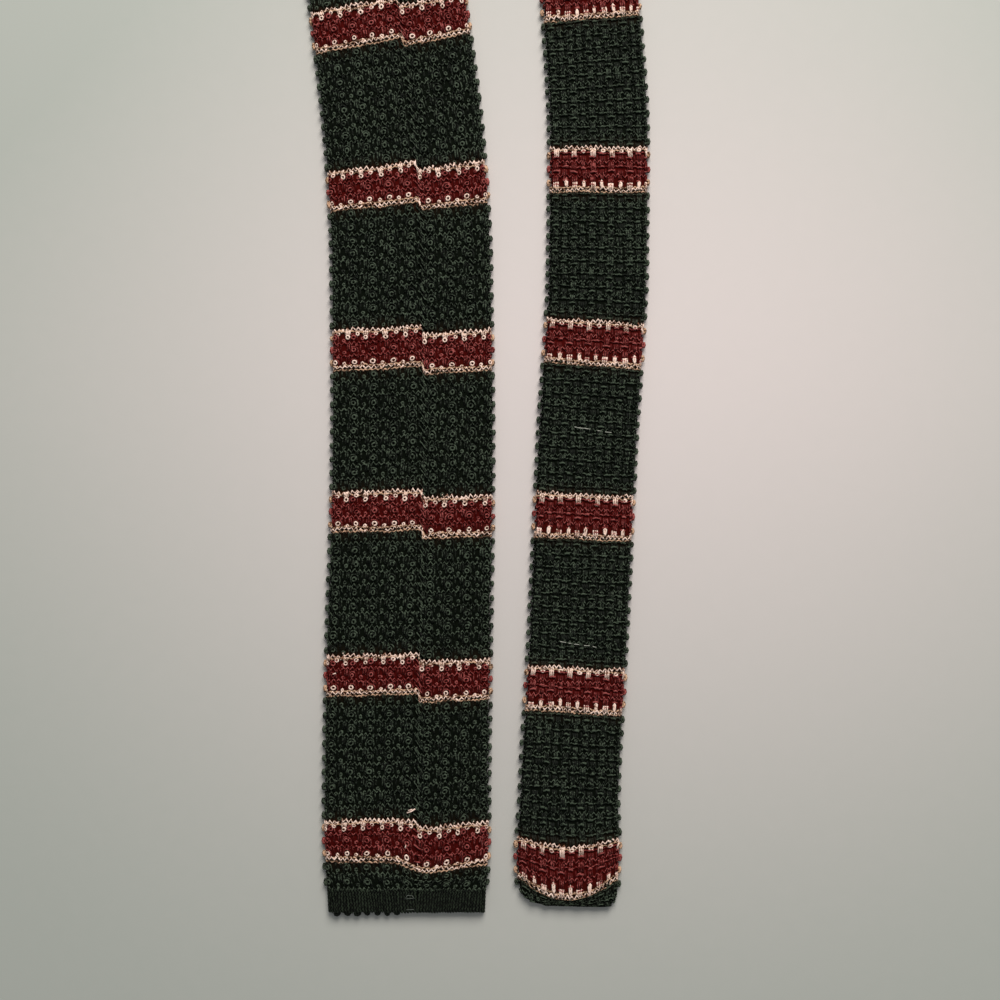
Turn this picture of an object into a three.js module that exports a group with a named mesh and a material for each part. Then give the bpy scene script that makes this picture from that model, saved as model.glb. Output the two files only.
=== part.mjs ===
// A knit tie with square ends, folded double at the neck and lying flat.
// The wide leg, the blade, lies with its seamed back upward. The narrow leg, the tail, lies with its
// plain front upward. Millimetres, +Z up, +Y towards the fold at the neck.
// The tie is one knitted tube pressed flat. It is made here as the bands that its yarn colours form,
// each a hollow wall of its own with a small gap to the next.
import * as THREE from "three";

// Lengths along the tie
const LEG_LENGTH = 712; // from the blade's end to the outside of the fold
const TAIL_SHORTER = 2.3; // how far above the blade's end the tail ends

// Widths across the tie
const BLADE_WIDTH = 64.5; // at the widest place, near the blade's end
const NECK_WIDTH = 34;
const TAIL_WIDTH = 41; // at the widest place, near the tail's end
const HEM_INSET = 0.7; // how far a hem stands back from the edge on each side
const LEG_GAP = 9.3; // clear space between the blade and the tail at their ends

// The flattened tube
const THICKNESS = 3.8; // both knitted layers together
const SLIT = 0.5; // empty space between the layers
const FOLD_INNER_RADIUS = 1.3; // empty space inside the fold at the neck
const LAYER_CLEARANCE = 0.5; // between the tail's neckband and the blade's neckband under it
const BAND_GAP = 0.3; // between neighbouring bands

// The back seam
const SEAM_OFFSET = 4.2; // right of the middle, at the blade's full width
const SEAM_LIP = 1.6; // half the width of the seam's groove
const SEAM_DEPTH = 0.6;
const SEAM_JOG = 3.2; // how far the courses miss each other at the seam

// Stripes
const STRIPE_HEIGHT = 15.4; // a red band and its two cream rows
const TAIL_STRIPE_HEIGHT = 17.1; // the same on the narrower half, but for the stripe at its end
const BLADE_HEM = 9.3; // height of the blade's hem
const TAIL_HEM = 11.3; // height of the tail's hem at its edges
const BLADE_FIRST_STRIPE = 28; // centre of the lowest stripe, from the blade's end
const BLADE_PITCH = 63.1; // from stripe to stripe on the blade
const TAIL_PITCH = 66.9; // from stripe to stripe on the tail
const TAIL_END_PITCH = 64.9; // from the stripe at the tail's end to the next one
const EVEN_PITCHES = 5; // pitches from each end that have the leg's own pitch
const LEG_STRIPES = 11; // on each side of the fold
const NECK_STRIPES = 3; // of those, on the slim neckband next to the fold
const BLADE_DIP = 5; // how far the lowest courses of the blade bow down in the middle
const TAIL_DIP = 8.4; // how far the lowest courses of the tail bow down in the middle

// Fineness of the solids
const LONG_STEP = 27; // between sections where the tie lies flat
const DRAPE_STEP = 13; // between sections where the tail lies over the blade's neckband
const FOLD_STEP = 1.3; // between sections round the fold

// The legs lie side by side on the floor up to this share of LEG_LENGTH. Above it the tail's neckband
// rises on to the blade's.
const APART = 0.5;
const TOGETHER = 0.6;

// Centre line of each leg. along: share of LEG_LENGTH from the ends. aside: share of the distance
// between the two centre lines at the ends, from a line midway, + to the tail's side.
const BLADE_LINE = [
  { along: 0, aside: -0.579 },
  { along: 0.06, aside: -0.579 },
  { along: 0.142, aside: -0.566 },
  { along: 0.256, aside: -0.541 },
  { along: 0.354, aside: -0.551 },
  { along: 0.419, aside: -0.595 },
  { along: 0.493, aside: -0.697 },
  { along: 0.562, aside: -0.798 },
  { along: 0.646, aside: -0.866 },
  { along: 0.73, aside: -0.867 },
  { along: 0.815, aside: -0.798 },
  { along: 0.899, aside: -0.653 },
];
const FOLD_ASIDE = -0.415; // where both legs meet at the fold
const TAIL_LINE = [
  { along: 0.899, aside: -0.128 },
  { along: 0.815, aside: 0.071 },
  { along: 0.73, aside: 0.237 },
  { along: 0.646, aside: 0.377 },
  { along: 0.562, aside: 0.494 },
  { along: 0.493, aside: 0.565 },
  { along: 0.419, aside: 0.614 },
  { along: 0.354, aside: 0.609 },
  { along: 0.256, aside: 0.544 },
  { along: 0.142, aside: 0.481 },
  { along: 0.06, aside: 0.43 },
  { along: 0, aside: 0.417 },
];

// Width of each leg. along: share of LEG_LENGTH from its end. spread: 0 at the neck's width,
// 1 at the leg's full width.
const BLADE_SPREAD = [
  { along: 0, spread: 0.9 },
  { along: 0.013, spread: 0.93 },
  { along: 0.022, spread: 0.97 },
  { along: 0.06, spread: 1 },
  { along: 0.142, spread: 0.99 },
  { along: 0.225, spread: 0.955 },
  { along: 0.305, spread: 0.935 },
  { along: 0.386, spread: 0.92 },
  { along: 0.493, spread: 0.88 },
  { along: 0.59, spread: 0.66 },
  { along: 0.7, spread: 0.3 },
  { along: 0.79, spread: 0.08 },
  { along: 0.87, spread: 0 },
];
const TAIL_SPREAD = [
  { along: 0, spread: 0.84 },
  { along: 0.017, spread: 0.89 },
  { along: 0.034, spread: 1 },
  { along: 0.064, spread: 0.72 },
  { along: 0.142, spread: 0.7 },
  { along: 0.305, spread: 0.72 },
  { along: 0.41, spread: 0.72 },
  { along: 0.493, spread: 0.62 },
  { along: 0.59, spread: 0.4 },
  { along: 0.7, spread: 0.2 },
  { along: 0.82, spread: 0.05 },
  { along: 0.9, spread: 0 },
];

// Bow of the lowest courses. above: share of STRIPE_HEIGHT over the hem. bow: share of the leg's dip.
const BLADE_BOW = [
  { above: 0, bow: 0 },
  { above: 0.72, bow: 1 },
  { above: 1.72, bow: 0.3 },
  { above: 2.9, bow: 0 },
];
const TAIL_BOW = [
  { above: 0, bow: 1 },
  { above: 0.95, bow: 0.35 },
  { above: 2.3, bow: 0 },
];

// Width of the tail's hem, which rounds off to the end. up: share of TAIL_HEM. full: share of the
// width above it.
const TAIL_HEM_WIDTH = [
  { up: 0, full: 0.62 },
  { up: 0.12, full: 0.79 },
  { up: 0.42, full: 0.95 },
  { up: 1, full: 1 },
];

// Places worked out from the sizes
const HALF_THICKNESS = THICKNESS / 2;
const FOLD_RADIUS = HALF_THICKNESS + FOLD_INNER_RADIUS;
const FOLD_START = LEG_LENGTH - HALF_THICKNESS - FOLD_RADIUS;
const FOLD_END = FOLD_START + Math.PI * FOLD_RADIUS;
const FOLD_MIDDLE = (FOLD_START + FOLD_END) / 2;
const TIE_LENGTH = FOLD_END + FOLD_START - TAIL_SHORTER;
const LINE_SPACING = BLADE_WIDTH / 2 + LEG_GAP + TAIL_WIDTH / 2;
const TAIL_FIRST_STRIPE = TAIL_HEM + STRIPE_HEIGHT / 2;
const FOLD_EASE = 12 * THICKNESS; // length over which the upper layer settles on the lower one
const DRAPE_WIDTH = 5.5 * THICKNESS; // width over which the upper layer comes down to the floor
const FOLD_MARGIN = 2 * THICKNESS; // stretch beside the fold with close sections

// Value of a table's column at a place, on a smooth curve that does not overshoot its rows.
function follow(rows, key, column, at) {
  const last = rows.length - 1;
  if (at <= rows[0][key]) return rows[0][column];
  if (at >= rows[last][key]) return rows[last][column];
  const i = rows.findIndex((row, n) => n < last && at < rows[n + 1][key]);
  const rise = (n) => (rows[n + 1][column] - rows[n][column]) / (rows[n + 1][key] - rows[n][key]);
  const slope = (n) => {
    if (n === 0) return rise(0);
    if (n === last) return rise(last - 1);
    const before = rise(n - 1);
    const after = rise(n);
    return before * after > 0 ? (2 * before * after) / (before + after) : 0;
  };
  const span = rows[i + 1][key] - rows[i][key];
  const t = (at - rows[i][key]) / span;
  const held = rows[i][column] * (1 + 2 * t) * (1 - t) ** 2 + rows[i + 1][column] * t * t * (3 - 2 * t);
  return held + span * (slope(i) * t * (1 - t) ** 2 - slope(i + 1) * t * t * (1 - t));
}

// The whole centre line as one table along the unfolded tie.
const CENTRE_LINE = [
  ...BLADE_LINE.map(({ along, aside }) => ({ at: along * LEG_LENGTH, aside })),
  { at: FOLD_MIDDLE, aside: FOLD_ASIDE },
  ...TAIL_LINE.map(({ along, aside }) => ({ at: tailPlace(along), aside })),
].map(({ at, aside }) => ({ at, x: aside * LINE_SPACING }));

function tailPlace(along) {
  return TIE_LENGTH + TAIL_SHORTER - along * LEG_LENGTH;
}

function centre(at) {
  return follow(CENTRE_LINE, "at", "x", at);
}

function lean(at) {
  const reach = 2;
  return Math.atan((centre(at + reach) - centre(at - reach)) / (2 * reach));
}

function width(at) {
  const onBlade = at < FOLD_MIDDLE;
  const full = onBlade ? BLADE_WIDTH : TAIL_WIDTH;
  const rows = onBlade ? BLADE_SPREAD : TAIL_SPREAD;
  const along = (onBlade ? at : TIE_LENGTH + TAIL_SHORTER - at) / LEG_LENGTH;
  return NECK_WIDTH + (full - NECK_WIDTH) * follow(rows, "along", "spread", along);
}

// How high the tail's middle layer lies, over the blade's neckband or on the floor.
function tailHeight(x, y) {
  const fromFold = FOLD_START - y;
  const settled = THREE.MathUtils.smoothstep(fromFold, 0, FOLD_EASE);
  const over = THREE.MathUtils.lerp(2 * FOLD_RADIUS, THICKNESS + LAYER_CLEARANCE, settled);
  const bladeEdge = centre(y) + width(y) / 2 / Math.cos(lean(y));
  const down = THREE.MathUtils.smoothstep(x, bladeEdge, bladeEdge + DRAPE_WIDTH);
  const nearNeck = THREE.MathUtils.smoothstep(y, APART * LEG_LENGTH, TOGETHER * LEG_LENGTH);
  return HALF_THICKNESS + over * (1 - down) * nearNeck;
}

// A place of the unfolded, flat tie, as a point of the folded one. outward: towards the back face.
function place(x, along, outward) {
  if (along <= FOLD_START) return [x, along, HALF_THICKNESS + outward];
  if (along >= FOLD_END) {
    const y = FOLD_START + FOLD_END - along;
    return [x, y, tailHeight(x, y) - outward];
  }
  const turn = (along - FOLD_START) / FOLD_RADIUS;
  const radius = FOLD_RADIUS - outward;
  return [x, FOLD_START + radius * Math.sin(turn), HALF_THICKNESS + FOLD_RADIUS - radius * Math.cos(turn)];
}

// Rays across one section. Each starts on the middle line of the flattened tube and passes through
// the inner and the outer face of the wall. share: place from edge to edge. seam: distance from the
// seam. turn: direction, in degrees.
const RAYS = [
  ...[-1, -0.5, 0, 0.5, 1].map((share) => ({ share, turn: -90 })),
  ...[-45, 0, 45].map((turn) => ({ share: 1, turn })),
  ...[1, 0.5].map((share) => ({ share, turn: 90 })),
  ...[SEAM_LIP, 0, -SEAM_LIP].map((seam) => ({ seam, turn: 90 })),
  ...[-0.5, -1].map((share) => ({ share, turn: 90 })),
  ...[135, 180, 225].map((turn) => ({ share: -1, turn })),
];

// How far a course runs ahead of its own place, at a distance from the tie's middle.
function courseShift(at, aside, half, seamAt, onBack) {
  const fromTail = TIE_LENGTH - at;
  const arch = 1 - (aside / (half - HALF_THICKNESS)) ** 2;
  const bladeBow = follow(BLADE_BOW, "above", "bow", (at - BLADE_HEM) / STRIPE_HEIGHT);
  const tailBow = follow(TAIL_BOW, "above", "bow", (fromTail - TAIL_HEM) / STRIPE_HEIGHT);
  const inTailHem = Math.min(1, fromTail / TAIL_HEM);
  const bow = arch * (TAIL_DIP * tailBow * inTailHem - BLADE_DIP * bladeBow);
  if (!onBack || Math.abs(aside - seamAt) < SEAM_LIP / 2) return bow;
  const jog = SEAM_JOG / 2 * Math.min(1, at / BLADE_HEM, fromTail / TAIL_HEM);
  if (aside < seamAt) return bow + jog * (aside + half) / (seamAt + half);
  return bow - jog * (half - aside) / (half - seamAt);
}

// One ring of points of a section, on the outer or on the inner face of the wall.
function ring(at, widthShare, inset, onOuter) {
  return RAYS.map(({ share, seam, turn }) => {
    const half = width(at) / 2 * widthShare - inset;
    const seamAt = SEAM_OFFSET * width(at) / BLADE_WIDTH;
    const onMiddle = seam === undefined ? share * (half - HALF_THICKNESS) : seamAt + seam;
    const course = at + courseShift(at, onMiddle, width(at) / 2, seamAt, turn === 90);
    const sunk = seam === 0 ? SEAM_DEPTH : 0;
    const reach = onOuter ? HALF_THICKNESS - sunk : SLIT / 2;
    const angle = THREE.MathUtils.degToRad(turn);
    const aside = onMiddle + reach * Math.cos(angle);
    const tilt = lean(course);
    const x = centre(course) + aside * Math.cos(tilt);
    return place(x, course - aside * Math.sin(tilt), reach * Math.sin(angle));
  });
}

// A band of the tube as one closed wall through its sections, open at both ends.
function wall(sections) {
  const outer = sections.map(({ at, share, inset }) => ring(at, share, inset, true));
  const inner = sections.map(({ at, share, inset }) => ring(at, share, inset, false));
  const around = RAYS.length;
  const layers = sections.length;
  const points = [...outer.flat(), ...inner.flat()].flat();
  const outside = (layer, i) => layer * around + (i % around);
  const inside = (layer, i) => layers * around + outside(layer, i);
  const faces = [];
  const quad = (a, b, c, d) => faces.push(a, b, c, a, c, d);
  for (let i = 0; i < around; i += 1) {
    for (let layer = 0; layer < layers - 1; layer += 1) {
      const next = layer + 1;
      quad(outside(layer, i), outside(next, i), outside(next, i + 1), outside(layer, i + 1));
      quad(inside(layer, i), inside(layer, i + 1), inside(next, i + 1), inside(next, i));
    }
    const top = layers - 1;
    quad(outside(0, i), outside(0, i + 1), inside(0, i + 1), inside(0, i));
    quad(outside(top, i), inside(top, i), inside(top, i + 1), outside(top, i + 1));
  }
  const geometry = new THREE.BufferGeometry();
  geometry.setAttribute("position", new THREE.Float32BufferAttribute(points, 3));
  geometry.setIndex(faces);
  geometry.computeVertexNormals();
  return geometry;
}

// Longest step between sections at a place.
function stepAt(at) {
  if (at > FOLD_START - FOLD_MARGIN && at < FOLD_END + FOLD_MARGIN) return FOLD_STEP;
  const pastFold = at - FOLD_END;
  return pastFold > 0 && pastFold < 3 * FOLD_EASE ? DRAPE_STEP : LONG_STEP;
}

// Places of a band's sections, from its lower to its upper end.
function placesBetween(from, to) {
  const low = from + BAND_GAP / 2;
  const high = to - BAND_GAP / 2;
  const turns = [FOLD_START - FOLD_MARGIN, FOLD_END + FOLD_MARGIN, FOLD_END + 3 * FOLD_EASE];
  const stops = [low, ...turns.filter((turn) => turn > low + 1 && turn < high - 1), high];
  const places = [low];
  stops.slice(1).forEach((stop, n) => {
    const start = stops[n];
    const steps = Math.max(1, Math.ceil((stop - start) / stepAt((start + stop) / 2)));
    for (let k = 1; k <= steps; k += 1) places.push(start + (stop - start) * k / steps);
  });
  return places;
}

function plainWall(from, to) {
  return wall(placesBetween(from, to).map((at) => ({ at, share: 1, inset: 0 })));
}

function bladeHemWall() {
  const top = BLADE_HEM - BAND_GAP / 2;
  return wall([0, top / 2, top].map((at) => ({ at, share: 1, inset: HEM_INSET })));
}

function tailHemWall() {
  const top = TAIL_HEM - BAND_GAP / 2;
  const rows = [...TAIL_HEM_WIDTH].reverse();
  const inset = HEM_INSET / 2;
  return wall(rows.map(({ up, full }) => ({ at: TIE_LENGTH - up * top, share: full, inset })));
}

// Distances of one leg's stripes from its end. After the end pitch come some with the leg's own pitch,
// and the rest lie evenly up to the fold, which falls midway between two stripes.
function legStripes(first, endPitch, pitch, reach) {
  const lastEven = first + endPitch + (EVEN_PITCHES - 1) * pitch;
  const rest = LEG_STRIPES - EVEN_PITCHES - 1;
  return Array.from({ length: LEG_STRIPES }, (_, k) => {
    if (k === 0) return first;
    if (k <= EVEN_PITCHES) return first + endPitch + (k - 1) * pitch;
    return lastEven + (reach - lastEven) * (k - EVEN_PITCHES) / (rest + 0.5);
  });
}

// Bands from the blade's hem to the tail's hem, with the stretch of the tie that each fills.
function bands() {
  const blade = legStripes(BLADE_FIRST_STRIPE, BLADE_PITCH, BLADE_PITCH, FOLD_MIDDLE);
  const tail = legStripes(TAIL_FIRST_STRIPE, TAIL_END_PITCH, TAIL_PITCH, TIE_LENGTH - FOLD_MIDDLE);
  const centres = [...blade, ...tail.reverse().map((distance) => TIE_LENGTH - distance)];
  const neckFrom = LEG_STRIPES - NECK_STRIPES;
  const neckTo = LEG_STRIPES + NECK_STRIPES;
  const legOf = (index, last) => (index < neckFrom ? "blade" : index > last ? "tail" : "neck");
  let from = BLADE_HEM;
  return centres.flatMap((middle, n) => {
    const stretched = n >= LEG_STRIPES && n < centres.length - 1;
    const height = stretched ? TAIL_STRIPE_HEIGHT : STRIPE_HEIGHT;
    const low = middle - height / 2;
    const high = middle + height / 2;
    const kind = n === LEG_STRIPES ? "fold" : "ground";
    const below = { leg: legOf(n, neckTo), kind, from, to: low };
    from = high;
    return [below, { leg: legOf(n, neckTo - 1), kind: "stripe", from: low, to: high }];
  });
}

const YARN_COLOURS = { ground: 0x202a20, fold: 0x202a20, stripe: 0x5e1e1e, hem: 0x1a231b };

function yarn(kind) {
  return new THREE.MeshStandardMaterial({ color: YARN_COLOURS[kind], roughness: 0.85, metalness: 0 });
}

function piece(name, geometry, material) {
  const mesh = new THREE.Mesh(geometry, material);
  mesh.name = name;
  return mesh;
}

const legs = Object.fromEntries(["blade", "neck", "tail"].map((leg) => [leg, new THREE.Group()]));
const counts = {};

bands().forEach(({ leg, kind, from, to }) => {
  const series = `${leg}_${kind}`;
  counts[series] = (counts[series] ?? 0) + 1;
  const name = kind === "fold" ? series : `${series}_${counts[series]}`;
  legs[leg].add(piece(name, plainWall(from, to), yarn(kind)));
});
legs.blade.add(piece("blade_hem", bladeHemWall(), yarn("hem")));
legs.tail.add(piece("tail_hem", tailHemWall(), yarn("hem")));

const tie = new THREE.Group();
tie.name = "knit_tie";
tie.add(legs.blade, legs.neck, legs.tail);

// The origin lies on the floor under the middle of the tie's box.
const box = new THREE.Box3().setFromObject(tie);
const middle = box.getCenter(new THREE.Vector3());
tie.position.set(-middle.x, -middle.y, -box.min.z);

export default tie;
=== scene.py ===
# %% [markdown]
# # A knit tie with square ends
# The tie is one knitted tube, pressed flat and folded double at the neck. The wide leg, the blade,
# lies with its seamed back up, and the narrow leg, the tail, lies with its front up. The solids
# come first, as a fixed frame, and everything below is dressed over them in the same place.

import bpy
import numpy as np
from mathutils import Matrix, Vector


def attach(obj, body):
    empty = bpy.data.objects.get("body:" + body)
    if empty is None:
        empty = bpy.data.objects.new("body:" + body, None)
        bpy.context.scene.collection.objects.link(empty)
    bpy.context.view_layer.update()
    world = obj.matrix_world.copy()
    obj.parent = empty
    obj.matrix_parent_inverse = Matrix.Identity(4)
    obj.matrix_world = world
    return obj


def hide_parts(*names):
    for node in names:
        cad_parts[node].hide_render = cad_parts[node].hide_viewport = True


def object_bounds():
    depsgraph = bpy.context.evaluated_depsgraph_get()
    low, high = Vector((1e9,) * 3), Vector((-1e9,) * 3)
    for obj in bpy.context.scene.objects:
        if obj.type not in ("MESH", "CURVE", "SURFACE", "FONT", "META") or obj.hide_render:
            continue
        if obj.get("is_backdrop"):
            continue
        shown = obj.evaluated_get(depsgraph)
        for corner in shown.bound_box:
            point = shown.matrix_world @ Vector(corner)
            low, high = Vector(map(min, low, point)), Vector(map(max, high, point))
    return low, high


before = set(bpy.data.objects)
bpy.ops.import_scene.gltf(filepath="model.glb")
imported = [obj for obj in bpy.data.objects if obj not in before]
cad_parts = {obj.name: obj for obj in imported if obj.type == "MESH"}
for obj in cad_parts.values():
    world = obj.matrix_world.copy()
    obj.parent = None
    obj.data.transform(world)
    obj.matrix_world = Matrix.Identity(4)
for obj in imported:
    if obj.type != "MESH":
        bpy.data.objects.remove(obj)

cad_low, cad_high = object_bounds()
print("solids:", len(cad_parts), "box:", tuple(cad_low), tuple(cad_high))

# %% [markdown]
# ## Camera, floor and light
# The photograph looks straight down and cuts the tie off a little below its middle. The camera
# hangs over the same spot, at a distance where a 50 mm lens covers the same 38.65 cm. The floor is
# a pale tabletop. One wide lamp stands beyond the top of the picture, because the soft shadows fall
# downwards, and a weak, even sky fills in the rest.

# %% Camera
MM = 0.001
VIEW_MIDDLE = (10.53, -196.7)
VIEW_SPAN = 386.5
EDGE_HEIGHT = 1.9
LENS = 50
SENSOR = 36
CLIP_START = 0.01

scene = bpy.context.scene
scene.view_settings.view_transform = "Standard"
camera = bpy.data.objects.new("camera", bpy.data.cameras.new("camera"))
scene.collection.objects.link(camera)
camera.data.lens = LENS
camera.data.sensor_width = SENSOR
camera.data.clip_start = CLIP_START
distance = VIEW_SPAN * LENS / SENSOR
camera.location = [c * MM for c in (*VIEW_MIDDLE, EDGE_HEIGHT + distance)]
scene.camera = camera
print("camera height:", round(camera.location.z, 4), "m")

# %% Lamp and sky
LAMP_PLACE = (0.2, 0.75, 0.95)
LAMP_SIZE = 0.8
LAMP_POWER = 21
LAMP_COLOUR = (1.0, 0.96, 0.92)
SKY_COLOUR = (0.93, 0.96, 1.0)
SKY_STRENGTH = 0.29

lamp = bpy.data.objects.new("lamp", bpy.data.lights.new("lamp", "AREA"))
scene.collection.objects.link(lamp)
lamp.data.size = LAMP_SIZE
lamp.data.energy = LAMP_POWER
lamp.data.color = LAMP_COLOUR
lamp.location = LAMP_PLACE
aim = camera.location.copy()
aim.z = 0
lamp.rotation_mode = "QUATERNION"
lamp.rotation_quaternion = (aim - lamp.location).to_track_quat("-Z", "Y")
sky = bpy.data.worlds.new("sky")
sky.use_nodes = True
sky.node_tree.nodes["Background"].inputs["Color"].default_value = (*SKY_COLOUR, 1)
sky.node_tree.nodes["Background"].inputs["Strength"].default_value = SKY_STRENGTH
scene.world = sky
print("lamp:", LAMP_POWER, "W, sky:", SKY_STRENGTH)

# %% [markdown]
# ## Writing shaders as sums
# A finish is easier to read as a formula than as a list of nodes. One small class holds a socket
# and answers +, -, * and / with a Math node, and one method makes any other node.

# %% A socket that can be added and multiplied
class Wire:
    """A number that a shader works out. Sums with it add Math nodes."""

    def __init__(self, finish, socket):
        self.finish = finish
        self.socket = socket

    def _math(self, operation, *values):
        return self.finish.node("ShaderNodeMath", {"operation": operation}, dict(enumerate(values)))

    def __add__(self, other):
        return self._math("ADD", self, other)

    def __sub__(self, other):
        return self._math("SUBTRACT", self, other)

    def __rsub__(self, other):
        return self._math("SUBTRACT", other, self)

    def __mul__(self, other):
        return self._math("MULTIPLY", self, other)

    def __truediv__(self, other):
        return self._math("DIVIDE", self, other)

    __radd__ = __add__
    __rmul__ = __mul__

    def within(self, low, high):
        """0 below low, 1 above high, and a smooth rise between."""
        values = {"Value": self, "From Min": low, "From Max": high}
        return self.finish.node("ShaderNodeMapRange", {"interpolation_type": "SMOOTHSTEP"}, values)

    def of(self, operation, *others):
        """Any other operation of the Math node, such as a sine."""
        return self._math(operation, self, *others)


class Finish:
    """A material with a Principled shader, and a short way to add nodes to it."""

    def __init__(self, name, **constants):
        self.material = bpy.data.materials.new(name)
        self.material.use_nodes = True
        self.nodes = self.material.node_tree.nodes
        self.shader = self.nodes["Principled BSDF"]
        for socket, value in constants.items():
            self.shader.inputs[socket.replace("_", " ")].default_value = value

    def fill(self, socket, value):
        if isinstance(value, Wire):
            self.material.node_tree.links.new(value.socket, socket)
        else:
            socket.default_value = value

    def node(self, kind, settings, inputs, output=0):
        made = self.nodes.new(kind)
        for setting, value in settings.items():
            setattr(made, setting, value)
        for socket, value in inputs.items():
            self.fill(made.inputs[socket], value)
        return Wire(self, made.outputs[output])

    def mix(self, share, low, high):
        """A colour between two colours, which sit in sockets 6 and 7 of the node."""
        colours = {"Factor": share, 6: low, 7: high}
        return self.node("ShaderNodeMix", {"data_type": "RGBA"}, colours, 2)

    def noise(self, place, scale, detail=2):
        values = {"Vector": place, "Scale": scale, "Detail": detail}
        return self.node("ShaderNodeTexNoise", {}, values)

    def kept(self, name, output="Fac"):
        """A value that the mesh carries for each of its points."""
        return self.node("ShaderNodeAttribute", {"attribute_name": name}, {}, output)

    def put(self, **sockets):
        for socket, value in sockets.items():
            self.fill(self.shader.inputs[socket.replace("_", " ")], value)
        return self.material


def rgb(red, green, blue):
    """A screen colour, 0 to 255, as the linear colour that a shader reads."""
    shares = [c / 255 for c in (red, green, blue)]
    return (*[s / 12.92 if s < 0.04045 else ((s + 0.055) / 1.055) ** 2.4 for s in shares], 1)


print("shader helpers ready")

# %% [markdown]
# The tabletop is smooth painted board: almost even, with a faint cloudiness and a soft sheen. Its
# colour carries a painted pool of light, paler about the legs of the tie, with painted shade away
# from them and towards +Y. A plane four metres square is wide enough to leave no edge near the tie
# in any view.

# %% Tabletop
FLOOR_HALF = 2.0
LIGHT_POOL_MIDDLE = (0.05, -0.12, 0)
LIGHT_POOL_REACH = 0.34
UPPER_SHADE_RISE = 6
UPPER_SHADE_SHARE = 0.3
CLOUD_SCALE = 3.0
SPECK_SCALE = 160.0
CLOUD_SHARE = 0.2

finish = Finish("tabletop_finish", Specular_IOR_Level=0.25)
place = finish.node("ShaderNodeTexCoord", {}, {}, "Object")
cloudy = finish.noise(place, CLOUD_SCALE, 3)
speck = finish.noise(place, SPECK_SCALE, 2)
# Painted light: a painted pool of light about the middle of the tie, with painted shade further out
# and towards +Y. The clouds are the board's own.
points = {0: place, 1: LIGHT_POOL_MIDDLE}
off_middle = finish.node("ShaderNodeVectorMath", {"operation": "DISTANCE"}, points, "Value")
height = finish.node("ShaderNodeSeparateXYZ", {}, {"Vector": place}, "Y")
upper = (height * UPPER_SHADE_RISE + 1).within(0, 1)
clouds = cloudy * 0.7 + speck * 0.3 - 0.5
painted_falloff_and_clouds = (off_middle / LIGHT_POOL_REACH).within(0, 1) + upper * UPPER_SHADE_SHARE + clouds * CLOUD_SHARE
colour = finish.mix(painted_falloff_and_clouds, rgb(216, 206, 203), rgb(174, 178, 170))
finish.put(Base_Color=colour, Roughness=0.5 + cloudy * 0.2)
corners = [(-1, -1), (1, -1), (1, 1), (-1, 1)]
mesh = bpy.data.meshes.new("tabletop")
mesh.from_pydata([(x * FLOOR_HALF, y * FLOOR_HALF, 0) for x, y in corners], [], [(0, 1, 2, 3)])
mesh.materials.append(finish.material)
tabletop = bpy.data.objects.new("tabletop", mesh)
scene.collection.objects.link(tabletop)
tabletop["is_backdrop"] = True
print("tabletop:", 2 * FLOOR_HALF, "m square")

# %% [markdown]
# ## The shape of the tie
# The solids follow a few tables: where the centre line runs, how wide the cloth is, where the
# stripes sit. The same tables are repeated here, so that every stitch lands on the solid that it
# stands for. Sizes are in millimetres, and "along" is measured on the unfolded tie, from the
# blade's end over the fold to the tail's end.

# %% Sizes
LEG_LENGTH = 712
TAIL_SHORTER = 2.3
BLADE_WIDTH = 64.5
NECK_WIDTH = 34
TAIL_WIDTH = 41
HEM_INSET = 0.7
PICOT_INSET = 0.6
LEG_GAP = 9.3
HALF_THICKNESS = 1.9
FOLD_RADIUS = 3.2
LAYER_CLEARANCE = 0.5
SEAM_OFFSET = 4.2
SEAM_JOG = 3.2
SEAM_REACH = 1.5
STRIPE_HEIGHT = 15.4
TAIL_STRIPE_HEIGHT = 17.1
BLADE_HEM = 9.3
TAIL_HEM = 11.3
BLADE_FIRST_STRIPE = 28
BLADE_PITCH = 63.1
TAIL_PITCH = 66.9
TAIL_END_PITCH = 64.9
EVEN_PITCHES = 5
LEG_STRIPES = 11
BLADE_DIP = 4.2
DIP_PLACE = 7
DIP_LEFT = 8
DIP_RIGHT = 20
TAIL_DIP = 8.4
CORNER_DRIFT = 0.3

FOLD_START = LEG_LENGTH - HALF_THICKNESS - FOLD_RADIUS
FOLD_END = FOLD_START + np.pi * FOLD_RADIUS
FOLD_MIDDLE = (FOLD_START + FOLD_END) / 2
TIE_LENGTH = FOLD_END + FOLD_START - TAIL_SHORTER
LINE_SPACING = BLADE_WIDTH / 2 + LEG_GAP + TAIL_WIDTH / 2
FOLD_EASE = 24 * HALF_THICKNESS
DRAPE_WIDTH = 11 * HALF_THICKNESS
CROSSING_START = 0.5 * LEG_LENGTH
CROSSING_END = 0.6 * LEG_LENGTH
print("tie length:", round(TIE_LENGTH, 1), "mm")

# %% Tables
BLADE_LINE = [
    (0, -0.579), (0.06, -0.579), (0.142, -0.566), (0.256, -0.541), (0.354, -0.551),
    (0.419, -0.595), (0.493, -0.697), (0.562, -0.798), (0.646, -0.866), (0.73, -0.867),
    (0.815, -0.798), (0.899, -0.653),
]
FOLD_ASIDE = -0.415
TAIL_LINE = [
    (0.899, -0.128), (0.815, 0.071), (0.73, 0.237), (0.646, 0.377), (0.562, 0.494), (0.493, 0.565),
    (0.419, 0.614), (0.354, 0.609), (0.256, 0.544), (0.142, 0.481), (0.06, 0.43), (0, 0.417),
]
BLADE_SPREAD = [
    (0, 0.9), (0.013, 0.93), (0.022, 0.97), (0.06, 1), (0.142, 0.99), (0.225, 0.955),
    (0.305, 0.935), (0.386, 0.92), (0.493, 0.88), (0.59, 0.66), (0.7, 0.3), (0.79, 0.08), (0.87, 0),
]
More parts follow.
